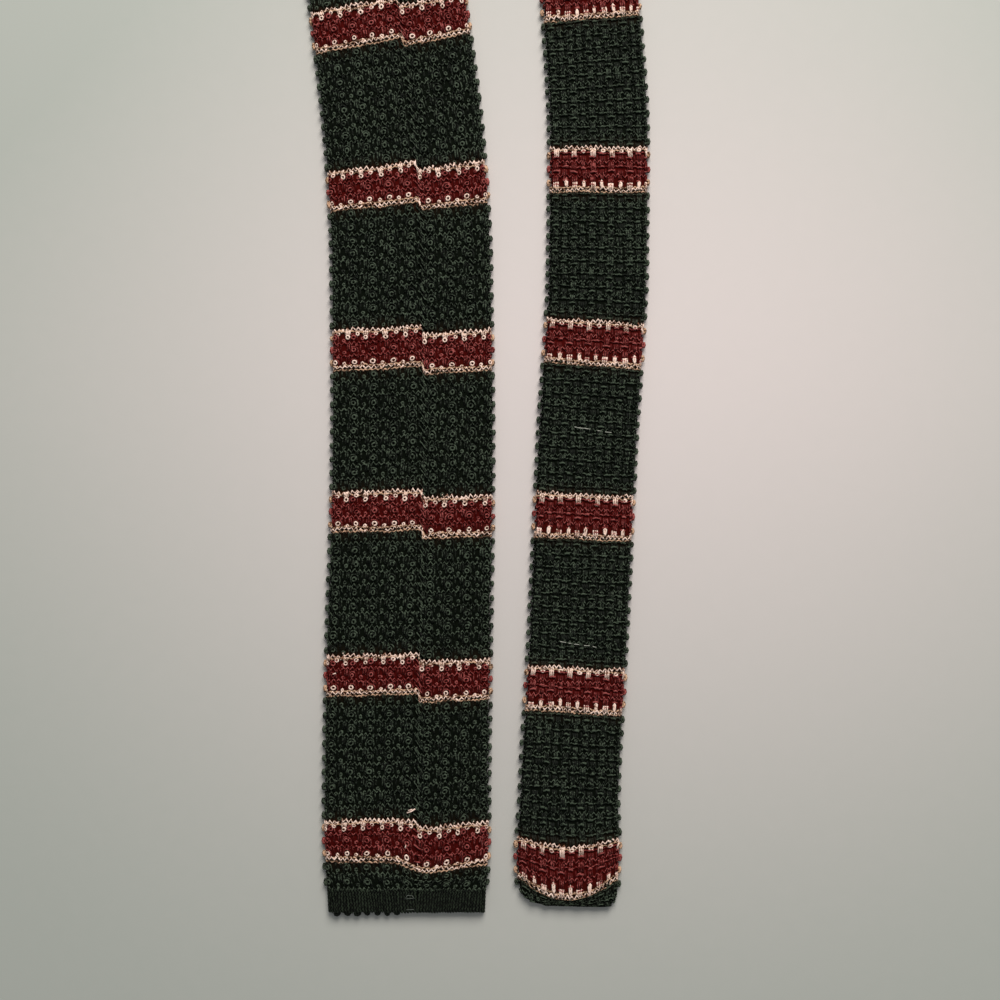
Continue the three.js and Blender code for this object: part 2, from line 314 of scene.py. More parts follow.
TAIL_SPREAD = [
    (0, 0.84), (0.017, 0.89), (0.034, 1), (0.064, 0.72), (0.142, 0.7), (0.305, 0.72), (0.41, 0.72),
    (0.493, 0.62), (0.59, 0.4), (0.7, 0.2), (0.82, 0.05), (0.9, 0),
]
BLADE_BOW = [(0, 0), (0.72, 1), (1.72, 0.3), (2.9, 0)]
BLADE_JOG = [(0, 0), (0.75, 0.05), (1.72, 0.7), (2.9, 1)]
TAIL_BOW = [(0, 1), (0.95, 0.35), (2.3, 0)]
TAIL_HEM_WIDTH = [(0, 0.6), (0.12, 0.79), (0.42, 0.955), (1, 1.01)]
print("rows in the centre line:", len(BLADE_LINE) + 1 + len(TAIL_LINE))

# %% Curves through the tables
def follow(table, at):
    """A smooth curve through a table's rows that does not overshoot them."""
    keys, values = np.array(table, float).T
    rise = np.diff(values) / np.diff(keys)
    before, after = rise[:-1], rise[1:]
    same_way = before * after > 0
    inner = np.where(same_way, 2 * before * after / np.where(same_way, before + after, 1), 0)
    slope = np.concatenate([rise[:1], inner, rise[-1:]])
    at = np.clip(at, keys[0], keys[-1])
    i = np.clip(np.searchsorted(keys, at, side="right") - 1, 0, len(keys) - 2)
    span = keys[i + 1] - keys[i]
    t = (at - keys[i]) / span
    held = values[i] * (1 + 2 * t) * (1 - t) ** 2 + values[i + 1] * t * t * (3 - 2 * t)
    return held + span * (slope[i] * t * (1 - t) ** 2 - slope[i + 1] * t * t * (1 - t))


def ease(value, low, high):
    """0 below low, 1 above high, and a smooth rise between."""
    t = np.clip((value - low) / (high - low), 0, 1)
    return t * t * (3 - 2 * t)


LEAN_STEP = 2
OUTLINE_POINTS = 3000
CENTRE_LINE = [
    *[(along * LEG_LENGTH, aside * LINE_SPACING) for along, aside in BLADE_LINE],
    (FOLD_MIDDLE, FOLD_ASIDE * LINE_SPACING),
    *[(TIE_LENGTH + TAIL_SHORTER - s * LEG_LENGTH, aside * LINE_SPACING) for s, aside in TAIL_LINE],
]


def centre(at):
    return follow(CENTRE_LINE, at)


def lean(at):
    """The slant of the centre line, as an angle."""
    return np.arctan((centre(at + LEAN_STEP) - centre(at - LEAN_STEP)) / (2 * LEAN_STEP))


def width(at):
    on_tail_leg = (TIE_LENGTH + TAIL_SHORTER - at) / LEG_LENGTH
    blade = follow(BLADE_SPREAD, at / LEG_LENGTH) * (BLADE_WIDTH - NECK_WIDTH)
    tail = follow(TAIL_SPREAD, on_tail_leg) * (TAIL_WIDTH - NECK_WIDTH)
    return NECK_WIDTH + np.where(at < FOLD_MIDDLE, blade, tail)


def cloth_width(at):
    """The width without the picots, which stand out at the edges of every row, up to the hems."""
    from_tail = TIE_LENGTH - at
    in_blade_hem = 1 - ease(at, BLADE_HEM - 1, BLADE_HEM)
    in_tail_hem = 1 - ease(from_tail, TAIL_HEM - 1, TAIL_HEM)
    picots = 2 * PICOT_INSET
    inset = picots + (2 * HEM_INSET - picots) * in_blade_hem
    tapered = width(at) * follow(TAIL_HEM_WIDTH, from_tail / TAIL_HEM)
    return tapered - inset + (picots - HEM_INSET) * in_tail_hem


outline = np.linspace(0, TIE_LENGTH, OUTLINE_POINTS)
reach = width(outline) / 2 * np.cos(lean(outline))
SHIFT_X = -((centre(outline) - reach).min() + (centre(outline) + reach).max()) / 2
SHIFT_Y = cad_high.y / MM - LEG_LENGTH
print("own frame to part frame:", round(SHIFT_X, 3), round(SHIFT_Y, 3))

# %% [markdown]
# A knitter's stitches are easiest to lay out on the unrolled tube. A point there has three
# numbers: how far it is across from the middle of the front, how far along the tie, and how far
# out of the cloth. The steps below wrap such points round the pressed tube, run them down the
# leaning legs, and bend them over the fold.

# %% From the unrolled tube to the folded tie
def tail_height(x, y):
    """The height of the tail's middle: on the blade near the neck, and down beside it."""
    settled = ease(FOLD_START - y, 0, FOLD_EASE)
    over = 2 * FOLD_RADIUS * (1 - settled) + (2 * HALF_THICKNESS + LAYER_CLEARANCE) * settled
    blade_edge = centre(y) + width(y) / 2 / np.cos(lean(y))
    down = ease(x, blade_edge, blade_edge + DRAPE_WIDTH)
    near_neck = ease(y, CROSSING_START, CROSSING_END)
    return HALF_THICKNESS + over * (1 - down) * near_neck


def fold(x, along, out):
    """A place of the flat, unfolded tie as a point of the folded one, in metres."""
    turn = np.clip((along - FOLD_START) / FOLD_RADIUS, 0, np.pi)
    radius = FOLD_RADIUS - out
    on_blade = along <= FOLD_START
    in_fold = (along > FOLD_START) & (along < FOLD_END)
    y_tail = FOLD_START + FOLD_END - along
    y_fold = FOLD_START + radius * np.sin(turn)
    y = np.where(in_fold, y_fold, np.where(on_blade, along, y_tail))
    z_fold = HALF_THICKNESS + FOLD_RADIUS - radius * np.cos(turn)
    z_leg = np.where(on_blade, HALF_THICKNESS + out, tail_height(x, y_tail) - out)
    z = np.where(in_fold, z_fold, z_leg)
    return np.stack([x + SHIFT_X, y + SHIFT_Y, z], 1) * MM


def seam_place(at):
    """How far the seam lies beside the middle of the back."""
    return SEAM_OFFSET * width(at) / BLADE_WIDTH


def course_shift(at, aside, on_back):
    """How far a course runs ahead of its own place: the bow near the ends and the seam's jog."""
    from_tail = TIE_LENGTH - at
    half = width(at) / 2
    seam = seam_place(at)
    past_blade_hem = (at - BLADE_HEM) / STRIPE_HEIGHT
    past_tail_hem = (from_tail - TAIL_HEM) / STRIPE_HEIGHT
    in_tail_hem = np.clip(from_tail / TAIL_HEM, 0, 1)
    arch = 1 - (aside / (half - HALF_THICKNESS)) ** 2
    off_dip = aside - DIP_PLACE
    dip = np.exp(-((off_dip / np.where(off_dip < 0, DIP_LEFT, DIP_RIGHT)) ** 2))
    bow = arch * TAIL_DIP * follow(TAIL_BOW, past_tail_hem) * in_tail_hem
    bow = bow - dip * BLADE_DIP * follow(BLADE_BOW, past_blade_hem)
    jog = SEAM_JOG / 2 * follow(BLADE_JOG, past_blade_hem) * in_tail_hem
    left = (aside + half) / (seam + half)
    right = -(half - aside) / (half - seam)
    return bow + on_back * jog * np.where(aside < seam, left, right)


def tube(at):
    """Half of the flat face, and the tube's reach across to the seam on either side."""
    flat_half = cloth_width(at) / 2 - HALF_THICKNESS
    half_round = 2 * flat_half + np.pi * HALF_THICKNESS
    seam = seam_place(at)
    return flat_half, -(half_round + seam), half_round - seam


def corner_drift(at):
    """How far the narrow end leans over: its left corner is rounder than its right one."""
    share = follow(TAIL_HEM_WIDTH, (TIE_LENGTH - at) / TAIL_HEM)
    return CORNER_DRIFT * width(at) * (1 - share)


def lay(points):
    """Points (across, along, out) of the unrolled tube, as points on the tie."""
    across, along, out = points.T
    flat_half, low, high = tube(along)
    across = np.clip(across, low, high)
    far = np.abs(across)
    side = np.sign(across)
    turn = np.clip((far - flat_half) / HALF_THICKNESS, 0, np.pi)
    from_seam = 2 * flat_half + np.pi * HALF_THICKNESS - far
    on_flat = np.where(turn >= np.pi, from_seam, np.minimum(far, flat_half))
    level = HALF_THICKNESS + out
    aside = side * (on_flat + level * np.sin(turn))
    course = along + course_shift(along, side * on_flat, turn / np.pi)
    tilt = lean(course)
    x = centre(course) + corner_drift(along) + aside * np.cos(tilt)
    return fold(x, course - aside * np.sin(tilt), -level * np.cos(turn))


JUST_BESIDE = 0.001


def lay_seam(points):
    """Points (aside from the seam, along, out) that cross the seam from one edge to the other."""
    aside, along, out = points.T
    seam = seam_place(along)
    before = course_shift(along, seam - JUST_BESIDE, 1.0)
    after = course_shift(along, seam + JUST_BESIDE, 1.0)
    course = along + before + (after - before) * ease(aside, -SEAM_REACH, SEAM_REACH)
    tilt = lean(course)
    x = centre(course) + (seam + aside) * np.cos(tilt)
    return fold(x, course - (seam + aside) * np.sin(tilt), HALF_THICKNESS + out)


print("round the blade:", round(float(np.ptp(tube(100.0)[1:])), 1), "mm")

# %% [markdown]
# ## Rows and stripes
# Each leg carries eleven stripes. A stripe is three rows of stitches, and about nine green rows
# lie between two stripes. A row starts at a zigzag line. The three rows of a stripe are knitted in
# cream, red and cream, but a loop is drawn up into the next row, so the cream eyelets of the first
# row stand in the red, and the cream of the last row hangs down into it. The stripes of the narrow
# leg are a little taller, apart from the one at its hem. The table names each row by its place:
# before, first, second, third or past for the rows at a stripe, and ground for the others.

# %% Row table
LINE_REACH = 1.1
ROW = 5.3
END_TRIM = 0.6


def leg_stripes(first, end_pitch, pitch, reach):
    """The middles of a leg's stripes. The last few share out the way that is left to the fold."""
    last_even = first + end_pitch + (EVEN_PITCHES - 1) * pitch
    rest = LEG_STRIPES - EVEN_PITCHES - 1
    even = [first] + [first + end_pitch + k * pitch for k in range(EVEN_PITCHES)]
    return even + [last_even + (reach - last_even) * k / (rest + 0.5) for k in range(1, rest + 1)]


blade_stripes = leg_stripes(BLADE_FIRST_STRIPE, BLADE_PITCH, BLADE_PITCH, FOLD_MIDDLE)
tail_first = TAIL_HEM + STRIPE_HEIGHT / 2
tail_stripes = leg_stripes(tail_first, TAIL_END_PITCH, TAIL_PITCH, TIE_LENGTH - FOLD_MIDDLE)
stripes = np.array(blade_stripes + [TIE_LENGTH - far for far in reversed(tail_stripes)])
rows_height = np.where(stripes < FOLD_MIDDLE, STRIPE_HEIGHT, TAIL_STRIPE_HEIGHT) - LINE_REACH
rows_height[-1] = STRIPE_HEIGHT - LINE_REACH
starts = [BLADE_HEM]
parts = []
for middle, height in zip(stripes, rows_height):
    low = middle - height / 2
    count = max(1, round((low - starts[-1]) / ROW))
    starts += list(np.linspace(starts[-1], low, count + 1)[1:])
    starts += [low + height * k / 3 for k in (1, 2, 3)]
    parts += ["past"] + ["ground"] * (count - 1) + ["first", "second", "third"]
parts[0] = "ground"
parts = ["before" if after == "first" else part for part, after in zip(parts, parts[1:] + ["past"])]
starts += list(np.linspace(starts[-1], TIE_LENGTH - END_TRIM, 3)[1:])
parts += ["past", "ground"]
print("rows before a stripe:", parts.count("before"))
row_start = np.array(starts[:-1])
row_height = np.diff(starts)
row_part = np.array(parts)
print("rows:", len(row_start), "from", row_height.min().round(2), "to", row_height.max().round(2))

# %% [markdown]
# A cell of the chart is one repeat of one row. The blade has a whole number of them round the
# tube. On the tail they are counted from the middle of the front, where the pattern shows most. In
# the fold the cloth is stretched, so extra cells there close the gaps between the rows. Cells that
# face up are knitted more finely.

# %% Wales, the columns of stitches
BLADE_WALE = 7.45
BLADE_WALE_START = 0.52
TAIL_WALE = 7.1
TAIL_WALE_START = -0.31
MOST_TAIL_WALES = 12
EDGE_SHARE = 0.3


def wales(at):
    """Places across of a row's stitches, and their spacing."""
    _, low, high = tube(at)
    band = np.searchsorted(stripes, at)
    ends = [0, *stripes, TIE_LENGTH]
    _, band_low, band_high = tube((ends[band] + ends[band + 1]) / 2)
    if at < FOLD_MIDDLE:
        count = round((band_high - band_low) / BLADE_WALE)
        pitch = (high - low) / count
        return low + (np.arange(count) + BLADE_WALE_START) * pitch, pitch
    pitch = TAIL_WALE * (high - low) / (band_high - band_low)
    places = (np.arange(-MOST_TAIL_WALES, MOST_TAIL_WALES + 1) + TAIL_WALE_START) * pitch
    margin = EDGE_SHARE * pitch
    return places[(places > low + margin) & (places < high - margin)], pitch


cells = []
for start, height, part in zip(row_start, row_height, row_part):
    places, pitch = wales(start + height / 2)
    cells += [(place, start, height, pitch, part) for place in places]
    if start + height > FOLD_START and start < FOLD_END:
        between = start + height / 2
        cells += [(place + pitch / 2, between, height, pitch, part) for place in places[:-1]]
cell_across, cell_along, cell_height, cell_pitch = np.array([c[:4] for c in cells], float).T
cell_part = np.array([c[4] for c in cells])
flat_half = tube(cell_along + cell_height / 2)[0]
past_edge = np.abs(cell_across) - flat_half - np.pi * HALF_THICKNESS / 2
on_blade_leg = cell_along < FOLD_MIDDLE
margin = EDGE_SHARE * cell_pitch
cell_up = np.where(on_blade_leg, past_edge > -margin, past_edge < margin)
cell_up |= (cell_along > FOLD_START - 2 * ROW) & (cell_along < FOLD_END + ROW)
print("cells:", len(cells), "facing up:", int(cell_up.sum()))

# %% [markdown]
# ## The stitches
# Seen close, one repeat of the wide leg is a zigzag line, a round eyelet with a larger crown about
# it, a small eyelet between two large ones, and upright strands that carry the next zigzag. The
# narrow leg is flatter: blocks of yarn, thin prongs and short bright bars. Each shape is a short
# path of yarn, charted in millimetres for one repeat. The outermost yarn touches height 0, so the
# cloth keeps the thickness of the solids, and dark squares stay open between the strands.

# %% Paths of yarn for one repeat
P = BLADE_WALE
T = TAIL_WALE
R = ROW
TEETH = 4
LINE_RISE = 0.58
LAP = 0.1


def path(across, along, out, is_closed=False):
    """One path of yarn from its three measures, as a list."""
    return [(np.stack(np.broadcast_arrays(across, along, out), 1), is_closed)]


def zigzag(wide, teeth=TEETH, peak=0.3):
    """The line of slanting strokes at the foot of a row, with one taller peak in its middle."""
    x = np.linspace(-wide / 2, wide / 2, 2 * teeth + 1)
    up = 1 - 2 * (np.arange(2 * teeth + 1) % 2)
    y = up * LINE_RISE + peak * (np.abs(x) < LAP)
    return path(x * (1 + LAP / wide), y, -0.42 + 0.06 * up)


def ripple(wide, y, rise=0.3):
    """A lower line beside a zigzag, with its peaks between the other's."""
    x = np.linspace(-wide / 2, wide / 2, 2 * TEETH + 1)
    up = 2 * (np.arange(2 * TEETH + 1) % 2) - 1
    return path(x * (1 + LAP / wide), y + up * rise, -0.5)


def crown(half_wide, foot, top, points):
    """A tall arch round an eyelet, open below."""
    t = np.linspace(-1, 1, points) * 2.1
    y = foot + (top - foot) * (np.cos(t) + 0.5) / 1.5
    return path(half_wide * np.sin(t), y, -0.62 + 0.2 * np.cos(t / 1.4))


def round_the(points):
    """The angles of points evenly round a loop."""
    return np.arange(points) * 2 * np.pi / points


def closed(x, y, half_wide, half_tall, points, out, lift=0.0):
    """A closed loop of yarn. Its upper end stands out and its lower end lies back, by the lift."""
    turn = round_the(points)
    along = y - half_tall * np.cos(turn)
    return path(x + half_wide * np.sin(turn), along, out - lift * np.cos(turn), True)


def strands(places, foot, head, points=3, back=0.0, sunk=0.35):
    """Upright strands side by side, with their feet drawn in."""
    t = np.linspace(0, 1, points)
    out = -0.4 - back - sunk * (1 - t) ** 2 - 0.06 * t
    return [path(x, foot + (head - foot) * t, out)[0] for x in places]


def pair(x, half):
    return [x - half, x + half]


def three(x, half):
    return [x - half, x, x + half]


def bar(x, y, half_wide, sag=0.15):
    """A short strand that lies across, with its ends a little higher."""
    along, out = np.array([(y + sag, -0.45), (y - sag, -0.36), (y + sag, -0.45)]).T
    return path(three(x, half_wide), along, out)


def picot(points, half_long, reach, middle):
    """Two round loops on top of each other that stand out from the edge."""
    turn = round_the(points)
    along, out = half_long * np.sin(turn), middle + reach * np.cos(turn)
    return path(-0.4, along, out, True) + path(0.4, along, out, True)


def path_object(name, paths):
    """Open or closed paths as an object of bare edges."""
    points, edges = [], []
    for way, is_closed in paths:
        first = len(points)
        points += [tuple(p) for p in way]
        edges += [(first + i, first + i + 1) for i in range(len(way) - 1)]
        edges += [(first + len(way) - 1, first)] if is_closed else []
    mesh = bpy.data.meshes.new(name)
    mesh.from_pydata(points, edges, [])
    return bpy.data.objects.new(name, mesh)


# Every kind of stitch: its paths, how thick its yarn is, and how many sides that yarn has.
BLADE_STITCHES = {
    "zigzag": (zigzag(P), 0.7, 4),
    "ripple_high": (ripple(P, 0.84 * R, 0.3), 0.84, 4),
    "ripple_low": (ripple(P, 0.15 * R, 0.24), 0.84, 4),
    "brown_below": (ripple(P, 0.83 * R), 0.74, 4),
    "eyelets": (
        closed(0, 0.45 * R, 0.78, 0.8, 8, -0.36, 0.02)
        + closed(0.5 * P, 0.27 * R, 0.5, 0.58, 6, -0.4), 0.7, 4,
    ),
    "crowns": (crown(1.55, 0.15 * R, 0.77 * R, 8), 0.6, 4),
    "uprights": (
        strands(pair(0.34 * P, 0.4), 0.42 * R, 0.97 * R, 3, 0.12)
        + strands(pair(-0.16 * P, 0.32), 0.74 * R, 0.97 * R, 2)
        + strands([-0.36 * P, 0.14 * P], 0.36 * R, 0.97 * R, 2, 0.28), 0.68, 4,
    ),
    "masses": (
        closed(0.34 * P, 0.44 * R, 0.68, 0.8, 7, -0.36)
        + strands(three(0.34 * P, 0.66), 0.62 * R, 0.97 * R, 2, sunk=0.06)
        + closed(-0.16 * P, 0.7 * R, 0.66, 0.66, 6, -0.38)
        + strands(pair(-0.16 * P, 0.5), 0.82 * R, 0.97 * R, 2, 0.05), 0.68, 4,
    ),
}
TAIL_STITCHES = {
    "zigzag": (zigzag(T, peak=0.15), 0.7, 4),
    "ripple_high": (ripple(T, 0.86 * R, 0.24), 0.8, 4),
    "ripple_low": (ripple(T, 0.15 * R, 0.24), 0.8, 4),
    "ripple_deep": (ripple(T, 0.34 * R, 0.2), 0.6, 3),
    "brown_above": (ripple(T, 0.17 * R), 0.74, 4),
    "eyelets": (strands(three(0, 0.72), 0.58 * R, 0.04 * R, 2, sunk=0.08), 0.76, 4),
    "blocks": (
        strands(three(0, 0.7), 0.66 * R, 0.04 * R, 2, sunk=0.08)
        + closed(0.5 * T, 0.24 * R, 0.66, 0.6, 6, -0.38), 0.74, 4,
    ),
    "prongs": (strands(pair(0.5 * T, 0.4), 0.26 * R, 0.04 * R, 2, sunk=0.08), 0.7, 4),
    "crowns": (bar(0, 0.66 * R, 1.2) + bar(0.5 * T, 0.36 * R, 0.9, 0.1), 0.84, 4),
    "uprights": (
        strands(three(0.5 * T, 0.7), 0.56 * R, 0.97 * R, 2, 0.05)
        + strands(pair(0, 0.22 * T), 0.5 * R, 0.97 * R, 2, 0.2), 0.72, 4,
    ),
    "masses": (
        strands(three(0, 0.74), 0.5 * R, 0.97 * R, 2, sunk=0.04)
        + closed(0.5 * T, 0.6 * R, 0.34, 1.45, 6, -0.38), 0.78, 4,
    ),
}
UNDER_STITCHES = {
    "zigzag": (zigzag(P, 2), 0.9, 3),
    "eyelets": (closed(0, 0.42 * R, 1.0, 0.9, 6, -0.5), 0.9, 3),
    "uprights": (strands(three(0, 0.3 * P), 0.2 * R, 0.97 * R, 2, 0.15), 0.9, 3),
}
BLADE_PICOT = (picot(6, 0.95, 0.42, 0.16), 1.1, 4)
TAIL_PICOT = (picot(6, 0.95, 0.48, 0.16), 1.0, 4)
print("one repeat:", round(P, 2), "by", round(R, 2), "mm")

# %% [markdown]
# Geometry Nodes turn a path into a tube of yarn and set one at every point of a chart. The tree
# keeps, for the finish, how far each point lies along its yarn and which way it faces round it, so
# that the twist of the yarn can be drawn. It also gives every stitch a tint of its own.

# %% The tree that sets stitches in place
# How far chance may move, stretch and turn a stitch, from the least to the most.
SLIP = ((-0.22, -0.16, -0.14), (0.22, 0.16, 0.0))
GROW = ((-0.09, -0.09, 0.0), (0.09, 0.09, 0.0))
TURN = ((-0.05, -0.05, -0.14), (0.05, 0.05, 0.14))


def stitch_tree():
    tree = bpy.data.node_groups.new("stitches_in_place", "GeometryNodeTree")
    wanted = {
        "Chart": "Geometry", "Stitch": "Object", "Yarn thickness": "Float", "Sides": "Int",
        "Unevenness": "Float", "Seed": "Int", "Finish": "Material",
    }
    for name, kind in wanted.items():
        tree.interface.new_socket(name, in_out="INPUT", socket_type="NodeSocket" + kind)
    tree.interface.new_socket("Stitches", in_out="OUTPUT", socket_type="NodeSocketGeometry")

    def node(kind, inputs, settings=None, output=0):
        made = tree.nodes.new(kind)
        for setting, value in (settings or {}).items():
            setattr(made, setting, value)
        for socket, value in inputs.items():
            if isinstance(value, bpy.types.NodeSocket):
                tree.links.new(value, made.inputs[socket])
            else:
                made.inputs[socket].default_value = value
        return made.outputs[output]

    def keep(geometry, name, value, kind, **settings):
        """The geometry with a value kept on it under a name."""
        inputs = {"Geometry": geometry, "Name": name, "Value": value}
        return node("GeometryNodeStoreNamedAttribute", inputs, {"data_type": kind, **settings})

    given = tree.nodes.new("NodeGroupInput").outputs
    half = {0: given["Yarn thickness"], 1: 0.5}
    radius = node("ShaderNodeMath", half, {"operation": "MULTIPLY"})
    section = {"Resolution": given["Sides"], "Radius": radius}
    circle = node("GeometryNodeCurvePrimitiveCircle", section)
    circle = keep(circle, "round", node("GeometryNodeInputPosition", {}), "FLOAT_VECTOR")
    path = node("GeometryNodeObjectInfo", {"Object": given["Stitch"]}, output="Geometry")
    path = node("GeometryNodeMeshToCurve", {"Mesh": path})
    length = node("GeometryNodeSplineParameter", {}, output="Length")
    path = keep(path, "run", length, "FLOAT")
    swept = {"Curve": path, "Profile Curve": circle, "Fill Caps": True}
    yarn = node("GeometryNodeCurveToMesh", swept)

    def chance(low, high, offset, kind="FLOAT_VECTOR"):
        """A random value between low and high. A number and a vector have sockets of their own."""
        seed = node("ShaderNodeMath", {0: given["Seed"], 1: offset}, {"operation": "ADD"})
        first, output = (2, 1) if kind == "FLOAT" else (0, 0)
        inputs = {first: low, first + 1: high, "Seed": seed}
        return node("FunctionNodeRandomValue", inputs, {"data_type": kind}, output)

    def scaled(vector):
        sockets = {0: vector, "Scale": given["Unevenness"]}
        return node("ShaderNodeVectorMath", sockets, {"operation": "SCALE"})

    slip = scaled(chance(*SLIP, 0))
    chart = node("GeometryNodeSetPosition", {"Geometry": given["Chart"], "Offset": slip})
    sizes = node("GeometryNodeInputNamedAttribute", {"Name": "size"}, {"data_type": "FLOAT_VECTOR"})
    grow = scaled(chance(*GROW, 1))
    sizes = node("ShaderNodeVectorMath", {0: sizes, 1: grow}, {"operation": "ADD"})
    turn = scaled(chance(*TURN, 2))
    spots = {"Points": chart, "Instance": yarn, "Rotation": turn, "Scale": sizes}
    stitches = node("GeometryNodeInstanceOnPoints", spots)
    stitches = keep(stitches, "tint", chance(0.0, 1.0, 3, "FLOAT"), "FLOAT", domain="INSTANCE")
    real = node("GeometryNodeRealizeInstances", {"Geometry": stitches})
    real = node("GeometryNodeSetMaterial", {"Geometry": real, "Material": given["Finish"]})
    out = tree.nodes.new("NodeGroupOutput")
    tree.links.new(real, out.inputs["Stitches"])
    return tree


STITCHES = stitch_tree()
print("nodes in the tree:", len(STITCHES.nodes))

# %% Running the tree
def set_stitches(paths, spots, yarn, finish, sides, unevenness, seed, sizes=None):
    """The stitch, set at each spot of the unrolled tube, as arrays of one plain mesh."""
    sizes = np.ones((len(spots), 3)) if sizes is None else sizes
    chart = bpy.data.meshes.new("chart")
    chart.from_pydata([tuple(s) for s in spots], [], [])
    size = chart.attributes.new("size", "FLOAT_VECTOR", "POINT")
    size.data.foreach_set("vector", np.asarray(sizes, np.float32).ravel())
    holder = bpy.data.objects.new("chart", chart)
    scene.collection.objects.link(holder)
    stitch = path_object("stitch_path", paths)
    scene.collection.objects.link(stitch)
    modifier = holder.modifiers.new("stitches", "NODES")
    modifier.node_group = STITCHES
    values = {
        "Stitch": stitch, "Yarn thickness": yarn, "Sides": sides, "Unevenness": unevenness,
        "Seed": seed, "Finish": finish,
    }
    for item in STITCHES.interface.items_tree:
        if item.in_out == "INPUT" and item.name in values:
            modifier[item.identifier] = values[item.name]
    graph = bpy.context.evaluated_depsgraph_get()
    mesh = bpy.data.meshes.new_from_object(holder.evaluated_get(graph), depsgraph=graph)
    holder.modifiers.remove(modifier)
    made = arrays_of(mesh)
    for thing in (holder, stitch):
        bpy.data.objects.remove(thing)
    bpy.data.meshes.remove(mesh)
    return made


def read(data, field, width=1, kind=np.float32):
    values = np.empty(len(data) * width, kind)
    data.foreach_get(field, values)
    return values.reshape(-1, width) if width > 1 else values


def arrays_of(mesh):
    return {
        "points": read(mesh.vertices, "co", 3).astype(float),
        "corners": read(mesh.loops, "vertex_index", kind=np.int32),
        "counts": read(mesh.polygons, "loop_total", kind=np.int32),
        "tint": read(mesh.attributes["tint"].data, "value"),
        "run": read(mesh.attributes["run"].data, "value"),
        "round": read(mesh.attributes["round"].data, "vector", 3),
    }


print("ready to knit")

# %% [markdown]
# What comes out of the tree still lies on the unrolled tube. A slow, small waver keeps the rows
# from looking printed. Then the points are laid on the tie, and the faces are turned over, because
# that step mirrors them.

# %% From arrays to a finished piece
# Each wave: its height, then its pace and start across, and its pace and start along.
ASIDE_WAVES = [(0.25, 0.31, 0.7, 0.19, 1.1), (0.16, 0.83, 2.1, 0.57, 0)]
AHEAD_WAVES = [(0.2, 0.27, 2.9, 0.41, 0.4), (0.14, 0.93, 0, 0.77, 1.9)]
CREAM_REACH = 1.3
GROUND_DEPTH = -0.95


def waver(points):
    """Points of the unrolled tube, a little astray."""
    across, along, out = points.T

    def waves(table):
        return sum(h * np.sin(a * across + b) * np.sin(c * along + d) for h, a, b, c, d in table)

    return np.stack([across + waves(ASIDE_WAVES), along + waves(AHEAD_WAVES), out], 1)


def near_cream(along):
    """1 at the outer lines of a stripe, falling off within a few millimetres."""
    lines = np.sort(np.concatenate([stripes - rows_height / 2, stripes + rows_height / 2]))
    i = np.clip(np.searchsorted(lines, along), 1, len(lines) - 1)
    far = np.minimum(np.abs(along - lines[i]), np.abs(along - lines[i - 1]))
    return np.exp(-far / CREAM_REACH)


def mesh_piece(name, points, corners, counts, material):
    """A mesh from flat arrays, with every face turned over."""
    ends = np.cumsum(counts)
    starts = ends - counts
    order = np.repeat(starts + ends - 1, counts) - np.arange(len(corners))
    mesh = bpy.data.meshes.new(name)
    mesh.vertices.add(len(points))
    mesh.vertices.foreach_set("co", points.astype(np.float32).ravel())
    mesh.loops.add(len(corners))
    mesh.polygons.add(len(counts))
    mesh.polygons.foreach_set("loop_start", starts.astype(np.int32))
    mesh.polygons.foreach_set("vertices", corners[order].astype(np.int32))
    mesh.polygons.foreach_set("use_smooth", np.full(len(counts), True))
    mesh.update(calc_edges=True)
    mesh.validate()
    mesh.materials.append(material)
    piece = bpy.data.objects.new(name, mesh)
    scene.collection.objects.link(piece)
    return piece


def keep_values(piece, values):
    """Keeps values for each point of a piece, which its finish reads by their names."""
    for name, value in values.items():
        kept = piece.data.attributes.new(name, "FLOAT", "POINT")
        kept.data.foreach_set("value", value.astype(np.float32))


def sew(name, knitted, material, onto):
    """Joins knitted arrays into one piece on the tie, with what the finish reads."""
    first = np.cumsum([0] + [len(k["points"]) for k in knitted])
    corners = np.concatenate([k["corners"] + f for k, f in zip(knitted, first)])
    keys = ("points", "counts", "tint", "run", "round")
    joined = {key: np.concatenate([k[key] for k in knitted]) for key in keys}
    highest = [np.full(len(k["points"]), k.get("highest", 0.0)) for k in knitted]
    flat = waver(joined["points"])
    flat[:, 2] = np.minimum(flat[:, 2], np.concatenate(highest))
    piece = mesh_piece(name, onto(flat), corners, joined["counts"], material)
    # The depth drives the painted shade in the yarn's finish: lower in the cloth, darker.
    keep_values(piece, {
        "tint": joined["tint"], "run": joined["run"], "warm": near_cream(flat[:, 1]),
        "depth": np.clip(flat[:, 2] / GROUND_DEPTH, 0, 1),
    })
    kept = piece.data.attributes.new("round", "FLOAT_VECTOR", "POINT")
    kept.data.foreach_set("vector", joined["round"].ravel())
    print(f"{name}: {int((joined['counts'] - 2).sum())} triangles")
    return piece


print("ready to sew")

# %% [markdown]
# ## Yarn finishes
# The yarn is a twisted silk-like thread, dyed bottle green, brick red and undyed cream. Two plies
# wind round each other, which shows as a slanting ripple, and fine fibres catch a thin grey sheen.
# Painted shade, deeper low in the cloth, specks of painted highlight, the lamp and sky, and a tone
# for each stitch do the rest, so one recipe serves all the colours.

# %% One recipe for every yarn
PLY_TURN = 2.2
PLIES = 2
CLOUD_NOISE, GLINT_NOISE, FIBRE_NOISE = 60.0, 1300.0, 2600.0
SHEEN_TINT = (0.9, 0.9, 0.85, 1)
YARN_BUMP = {"Strength": 0.5, "Distance": 0.0002}


